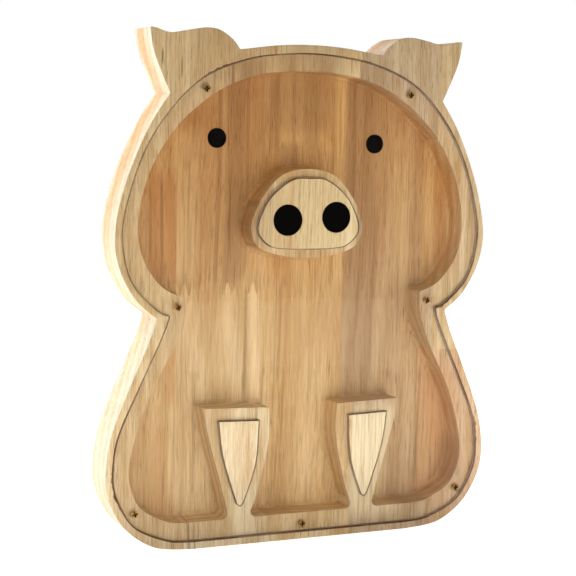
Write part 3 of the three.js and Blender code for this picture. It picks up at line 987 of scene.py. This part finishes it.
def wood_finish(name, tint, finishes, seed, heart, lean, rings, streaks, pores):
    """Planed rubberwood: growth rings, fibres, brown streaks and short dark pores that run up the stave."""
    finish = Finish(f"{name}_rubberwood")
    shift = tuple(seed * part for part in SEED_SHIFT)

    # a slow wander, so that the grain isn't ruled straight
    sway_place = finish.stretched((1, 1, SWAY_STRETCH), shift)
    place = finish.add("ShaderNodeTexNoise", {"Vector": sway_place, **SWAY_NOISE}).outputs["Color"]
    for operation, other in (("SUBTRACT", (0.5, 0.5, 0.5)), ("MULTIPLY", SWAY), ("ADD", finish.place)):
        place = finish.add("ShaderNodeVectorMath", {0: place, 1: other}, operation=operation).outputs[0]

    # growth rings about a leaning centre
    ring_place = finish.stretched((1, 1, RING_STRETCH), (-heart[0], -heart[1], 0), (0, lean, 0), place)
    ring_wave = finish.add(
        "ShaderNodeTexWave", {"Vector": ring_place, "Phase Offset": seed, **RINGS},
        wave_type="RINGS", rings_direction="Z", wave_profile="SIN",
    ).outputs["Fac"]
    fibre = finish.grain_noise(*FIBRE[0], shift, place)
    patterns = [(ring_wave, rings)]
    for pattern, weight in (BROAD, VEIN):
        patterns.append((finish.grain_noise(*pattern, shift, place), weight))
    patterns += [(fibre, FIBRE[1]), (finish.grain_noise(*THREAD[0], shift, place), THREAD[1])]
    depth = 0.0
    for pattern, weight in patterns:
        part = finish.maths("MULTIPLY", finish.maths("SUBTRACT", pattern, 0.5), weight)
        depth = finish.maths("ADD", depth, part)
    pale = tuple(min(1, part * factor) for part, factor in zip(tint, PALE_FACTORS))
    deep = tuple(part * factor for part, factor in zip(tint, DEEP_FACTORS))
    wood = finish.mix(finish.between(depth, *TONE_RANGE, smooth=False), deep, pale)

    # fine dark lines, long brown streaks and short dark pores
    streak_shift = (shift[1], shift[2], shift[0])
    line, streak, pore = (
        finish.between(finish.grain_noise(*pattern, mark_shift, place), *limits)
        for (pattern, limits, _), mark_shift in ((FINE_LINE, shift), (STREAK, streak_shift), (PORE, shift))
    )
    for mark, strength in ((line, FINE_LINE[2]), (streak, STREAK[2] * streaks), (pore, PORE[2] * pores)):
        wood = finish.mix(finish.maths("MULTIPLY", mark, strength), wood, finishes.pore)

    # marks of this stave, which follow its fibres; some of them are painted shade and one is partly a painted
    # highlight
    across = finish.add("ShaderNodeSeparateXYZ", {0: place}).outputs["X"]
    where = finish.add("ShaderNodeSeparateXYZ", {0: finish.place}).outputs
    broken = finish.between(fibre, *BROKEN_BY_FIBRES)
    hues = {"brown": finishes.pore, "orange": finishes.amber, "pale": finishes.sapwood}
    for x, low_z, high_z, half_width, strength, hue in MARKS[name]:
        offset = finish.maths("ABSOLUTE", finish.maths("SUBTRACT", across, x * MM))
        fade = min(LONGEST_FADE, (high_z - low_z) / 3)
        band = finish.between(offset, MARK_CORE * half_width * MM, half_width * MM, strength, 0.0)
        for end in ((low_z * MM, (low_z + fade) * MM), ((high_z - fade) * MM, high_z * MM, 1.0, 0.0)):
            band = finish.maths("MULTIPLY", band, finish.between(where["Z"], *end))
        wood = finish.mix(finish.maths("MULTIPLY", band, broken), wood, hues[hue])

    # milled faces lie deeper than the front; their warmer, duller tint is partly their own tone and partly
    # painted shade of the cavity behind the clear front, far deeper in the head, where it is nearly all
    # painted shade
    inside = finish.between(where["Y"], *MILLED_AND_SHADED_DEPTHS)
    outside = finish.between(where["Y"], *BACK_DEPTHS)
    milled = finish.mix(finish.between(where["Z"], *HEAD_SHADE_HEIGHTS), finishes.milled_tint_and_shade_body, finishes.milled_tint_and_shade_head)
    wood = finish.mix(finish.maths("SUBTRACT", inside, outside), wood, milled, blend="MULTIPLY")

    # painted shade: the front faces are darkened up the head, where less light falls
    front = finish.between(where["Y"], *FRONT_SHADE_DEPTHS)
    front = finish.maths("MULTIPLY", front, finish.between(where["Z"], *FRONT_SHADE_HEIGHTS))
    wood = finish.mix(front, wood, finishes.sanded, blend="MULTIPLY")

    # painted shade on the walls of the gap round the clear front, of holes and of hollows, in patches and
    # least at the upper left, which is better lit
    heat = finish.add("ShaderNodeAttribute", attribute_name="scorch").outputs["Fac"]
    patches = finish.between(finish.noise(finish.place, scale=42.0), *GAP_SHADE_PATCHES)
    shade_across = finish.between(where["X"], *GAP_SHADE_ACROSS)
    shade_height = finish.between(where["Z"], *GAP_SHADE_HEIGHTS)
    heat = finish.maths("MULTIPLY", heat, patches)
    heat = finish.maths("MULTIPLY", heat, finish.maths("MAXIMUM", shade_across, shade_height))
    wood = finish.mix(heat, wood, finishes.gap_shade_tint, blend="MULTIPLY")
    finish.put(finish.shader.inputs["Base Color"], wood)

    relief = finish.maths("SUBTRACT", finish.maths("MULTIPLY", fibre, FIBRE_RELIEF), pore)
    finish.put(finish.shader.inputs["Roughness"], finish.between(fibre, *WOOD_ROUGHNESS))
    finish.shader.inputs["Specular IOR Level"].default_value = WOOD_SHINE
    finish.bump(relief, strength=0.35, distance=0.00012)
    return finish.material


ACRYLIC_IOR = 1.49
FAINT_MIRRORING = (0.06, 0.06, 0.06, 1)
LIGHT_LET_THROUGH = (0.99, 0.99, 0.985)
SAWN_CLARITY = 0.4  # how clear the sawn edges of the acrylic are left
BRASS_DULLING = 0.55
BLACK_LIFT = 1.7
BLACK_SHINE = 0.03


def acrylic_finish(finishes):
    """Clear acrylic that lets the lamps through to the wood behind it."""
    finish = Finish("clear_acrylic")
    shader = finish.shader
    shader.inputs["Base Color"].default_value = (*finishes.acrylic, 1)
    shader.inputs["Transmission Weight"].default_value = 1.0
    shader.inputs["IOR"].default_value = ACRYLIC_IOR
    shader.inputs["Specular Tint"].default_value = FAINT_MIRRORING
    scuffs = finish.noise(finish.stretched((1, 1, 0.4)), scale=160.0, detail=4.0, roughness=0.6)
    finish.put(shader.inputs["Roughness"], finish.between(scuffs, low=0.55, high=0.75, to_high=0.04))
    path = finish.add("ShaderNodeLightPath").outputs["Is Shadow Ray"]
    clear = finish.add("ShaderNodeBsdfTransparent", {"Color": LIGHT_LET_THROUGH}).outputs[0]
    both = finish.add("ShaderNodeMixShader", {0: path, 1: shader.outputs[0], 2: clear}).outputs[0]
    finish.put(finish.tree.nodes["Material Output"].inputs["Surface"], both)
    return finish.material


def sawn_acrylic_finish(finishes):
    """The edges of the clear front, left cloudy by the saw; their brown is painted shade of the dark gap
    round the front.
    """
    finish = Finish("sawn_acrylic")
    chatter = finish.noise(finish.stretched((1, 1, 0.1)), scale=900.0)
    cleared = finish.between(chatter, low=0.3, high=0.7, to_high=0.5)
    finish.put(finish.shader.inputs["Base Color"], finish.mix(cleared, finishes.sawn_edge_shade, finishes.acrylic))
    finish.shader.inputs["Transmission Weight"].default_value = SAWN_CLARITY
    rough = finish.between(chatter, low=0.3, high=0.7, to_low=0.35, to_high=0.6)
    finish.put(finish.shader.inputs["Roughness"], rough)
    finish.bump(chatter, strength=0.3, distance=0.00008)
    return finish.material


def brass_finish(finishes):
    """Dulled brass with fine handling marks."""
    finish = Finish("dulled_brass")
    cloud = finish.noise(finish.place, scale=900.0, detail=4.0)
    dull = tuple(part * BRASS_DULLING for part in finishes.brass)
    brass = finish.mix(finish.between(cloud, low=0.35, high=0.65), dull, finishes.brass)
    # painted shade: the cross recess is darkened to black, for the shade that fills it
    recess_shade = finish.add("ShaderNodeAttribute", attribute_name="scorch").outputs["Fac"]
    finish.put(finish.shader.inputs["Base Color"], finish.mix(recess_shade, brass, finishes.black))
    finish.shader.inputs["Metallic"].default_value = 1.0
    rough = finish.between(cloud, low=0.3, high=0.7, to_low=0.5, to_high=0.28)
    finish.put(finish.shader.inputs["Roughness"], rough)
    finish.bump(finish.noise(finish.place, scale=2600.0), strength=0.2, distance=0.00004)
    return finish.material


def black_finish(finishes):
    """Satin black with a fine skin."""
    finish = Finish("satin_black")
    finish.shader.inputs["Specular IOR Level"].default_value = BLACK_SHINE
    skin = finish.noise(finish.place, scale=1400.0)
    lifted = tuple(part * BLACK_LIFT for part in finishes.black)
    black = finish.mix(finish.between(skin, low=0.4, high=0.7), finishes.black, lifted)
    finish.put(finish.shader.inputs["Base Color"], black)
    rough = finish.between(skin, low=0.3, high=0.7, to_low=0.4, to_high=0.55)
    finish.put(finish.shader.inputs["Roughness"], rough)
    finish.bump(skin, strength=0.25, distance=0.00006)
    return finish.material


# ---- studio ----

WHITE = (1, 1, 1)
SKY_BLUE = (0.43, 0.6, 1.0)
# place, aim, size and tint of each light, in metres, and whether glossy surfaces mirror it
LIGHTS = {
    "key": ((0.7, -1.2, 0.15), (0, 0, 0.12), (1.0, 0.8), WHITE, True),
    "low": ((0.12, -0.27, 0.004), (0.12, -0.27, 1), (0.7, 0.42), WHITE, False),
    "front": ((0.12, -0.62, 0.01), (0.05, 0, 0.02), (0.5, 0.12), WHITE, False),
    "top": ((-0.8, -0.55, 1.1), (0, 0, 0.1), (0.6, 0.6), WHITE, False),
    "back": ((-0.4, 0.9, 1.1), (0, 0, 0.25), (1.2, 0.8), WHITE, True),
    "side": ((-1.2, 0.4, 0.1), (-0.1, 0, 0.05), (0.8, 0.8), SKY_BLUE, True),
}
FLOOR_HALF_WIDTH = 4.0
FLOOR_TONES = (0.88, 0.88, 0.88), (0.92, 0.92, 0.92)
SEEN_GLOW = 0.45  # how much brighter the floor glows where the camera sees it
SENSOR_WIDTH = 36
CAMERA_PLACE = (-0.35793, -0.80427, 0.2426)
CAMERA_ANGLES = (23.598, -6.023, 1.258)  # yaw, pitch and roll, in degrees


def area_light(name, power, place, aim, size, tint, mirrored_by_gloss):
    """A large soft light that looks at a place."""
    lamp = bpy.data.lights.new(name, "AREA")
    lamp.shape, lamp.size, lamp.size_y = "RECTANGLE", size[0], size[1]
    lamp.energy, lamp.color = power, tint
    light = bpy.data.objects.new(name, lamp)
    light.visible_camera, light.visible_glossy = False, mirrored_by_gloss
    light.location = place
    light.rotation_euler = (Vector(aim) - Vector(place)).to_track_quat("-Z", "Y").to_euler()
    bpy.context.scene.collection.objects.link(light)


def floor_finish(studio):
    """A plain pale floor that glows a little, and more so where it is seen."""
    finish = Finish("white_floor")
    mottle = finish.noise(finish.place, scale=3.0)
    finish.put(finish.shader.inputs["Base Color"], finish.mix(mottle, *FLOOR_TONES))
    finish.shader.inputs["Roughness"].default_value = 0.9
    finish.shader.inputs["Emission Color"].default_value = (1, 1, 1, 1)
    seen = finish.add("ShaderNodeLightPath").outputs["Is Camera Ray"]
    emission = finish.between(seen, 0, 1, studio.floor_glow, studio.floor_glow + SEEN_GLOW, smooth=False)
    finish.put(finish.shader.inputs["Emission Strength"], emission)
    return finish.material


def white_surround(studio):
    """A world that is white where it is seen and dimmer where it lights the object."""
    world = bpy.data.worlds.new("white_surround")
    world.use_nodes = True
    tree = world.node_tree
    surround = tree.nodes["Background"]
    surround.inputs["Strength"].default_value = studio.daylight
    seen = tree.nodes.new("ShaderNodeBackground")
    for background in (surround, seen):
        background.inputs["Color"].default_value = (1, 1, 1, 1)
    path = tree.nodes.new("ShaderNodeLightPath")
    mix = tree.nodes.new("ShaderNodeMixShader")
    tree.links.new(path.outputs["Is Camera Ray"], mix.inputs[0])
    tree.links.new(surround.outputs[0], mix.inputs[1])
    tree.links.new(seen.outputs[0], mix.inputs[2])
    tree.links.new(mix.outputs[0], tree.nodes["World Output"].inputs["Surface"])
    return world


class MONEYBOX_OT_studio(bpy.types.Operator):
    """Sets up the pale floor, the soft lights and the camera"""

    bl_idname = "moneybox.studio"
    bl_label = "Studio"

    def execute(self, context):
        scene, studio = context.scene, context.scene.money_box_studio
        bm = bmesh.new()
        bmesh.ops.create_grid(bm, x_segments=8, y_segments=8, size=FLOOR_HALF_WIDTH)
        mesh = bpy.data.meshes.new("studio_floor")
        bm.to_mesh(mesh)
        bm.free()
        mesh.materials.append(floor_finish(studio))
        floor = bpy.data.objects.new("studio_floor", mesh)
        scene.collection.objects.link(floor)

        scene.world = white_surround(studio)
        for name, layout in LIGHTS.items():
            area_light(f"{name}_light", getattr(studio, name), *layout)

        view = bpy.data.cameras.new("camera")
        view.lens, view.sensor_width = studio.focal_length, SENSOR_WIDTH
        camera = bpy.data.objects.new("camera", view)
        yaw, pitch, roll = (math.radians(angle) for angle in CAMERA_ANGLES)
        heading = Matrix.Rotation(-yaw, 4, "Z") @ Matrix.Rotation(math.pi / 2 + pitch, 4, "X")
        turned = heading @ Matrix.Rotation(roll, 4, "Z")
        camera.matrix_world = Matrix.Translation(CAMERA_PLACE) @ turned
        scene.collection.objects.link(camera)
        scene.camera = camera
        scene.view_settings.view_transform = "Standard"
        return {"FINISHED"}


# ---- sidebar and registration ----


class MONEYBOX_PT_panel(bpy.types.Panel):
    """Settings and steps of the money box"""

    bl_idname = "MONEYBOX_PT_panel"
    bl_label = "Money Box"
    bl_space_type = "VIEW_3D"
    bl_region_type = "UI"
    bl_category = "Money Box"

    def draw(self, context):
        for settings, group in GROUPS.items():
            box = self.layout.box()
            for name in group.__annotations__:
                box.prop(getattr(context.scene, settings), name)
        for step in STEPS:
            self.layout.operator(step.bl_idname)


GROUPS = {
    "money_box_sizes": MoneyBoxSizes,
    "money_box_finishes": MoneyBoxFinishes,
    "money_box_studio": MoneyBoxStudio,
}
STEPS = [
    MONEYBOX_OT_staves, MONEYBOX_OT_clear_front, MONEYBOX_OT_screws, MONEYBOX_OT_discs, MONEYBOX_OT_studio,
]
CLASSES = [*GROUPS.values(), *STEPS, MONEYBOX_PT_panel]


def register():
    for item in CLASSES:
        bpy.utils.register_class(item)
    for name, group in GROUPS.items():
        setattr(bpy.types.Scene, name, PointerProperty(type=group))


def unregister():
    for name in GROUPS:
        delattr(bpy.types.Scene, name)
    for item in reversed(CLASSES):
        bpy.utils.unregister_class(item)


def main():
    """Builds every piece and the studio."""
    register()
    bpy.ops.moneybox.staves()
    bpy.ops.moneybox.clear_front()
    bpy.ops.moneybox.screws()
    bpy.ops.moneybox.discs()
    bpy.ops.moneybox.studio()


if __name__ == "__main__":
    main()
